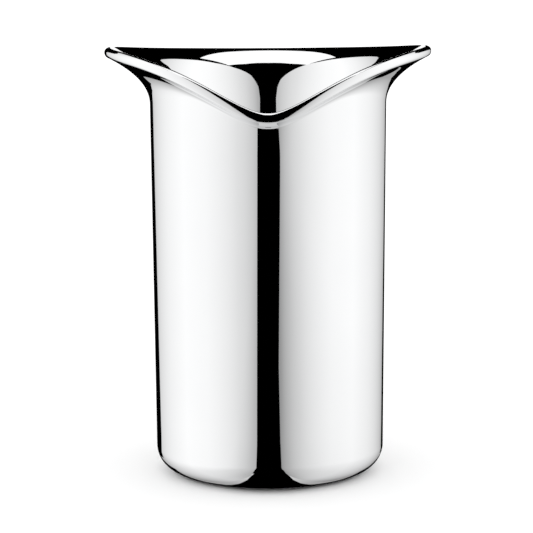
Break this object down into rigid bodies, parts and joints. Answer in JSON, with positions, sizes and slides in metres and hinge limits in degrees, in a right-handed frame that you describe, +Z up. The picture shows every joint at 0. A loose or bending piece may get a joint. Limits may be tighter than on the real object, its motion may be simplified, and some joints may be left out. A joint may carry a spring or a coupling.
{
  "type": "bottle cooler",
  "caption": "Double-walled polished steel bottle cooler with a flared collar, a lip on each side and a V-shaped dip at the front.",
  "frame": {"origin": "middle of the foot pad's underside, on the axis of the round body", "axes": "+Z up along the body's axis, -Y towards the V-shaped dip at the front, +X towards the lip on the right as seen from the front"},
  "size_m": [0.169, 0.1377, 0.2234],
  "materials": {
    "outer_steel": "mirror-polished stainless steel",
    "inner_steel": "mirror-polished stainless steel",
    "rim_steel": "mirror-polished stainless steel",
    "base_steel": "satin stainless steel",
    "pad_rubber": "matt silicone rubber"
  },
  "bodies": {
    "root": {"outer_shell": "outer_steel", "inner_liner": "inner_steel", "rim_band": "rim_steel", "base_plate": "base_steel", "foot_pad": "pad_rubber"}
  },
  "joints": []
}
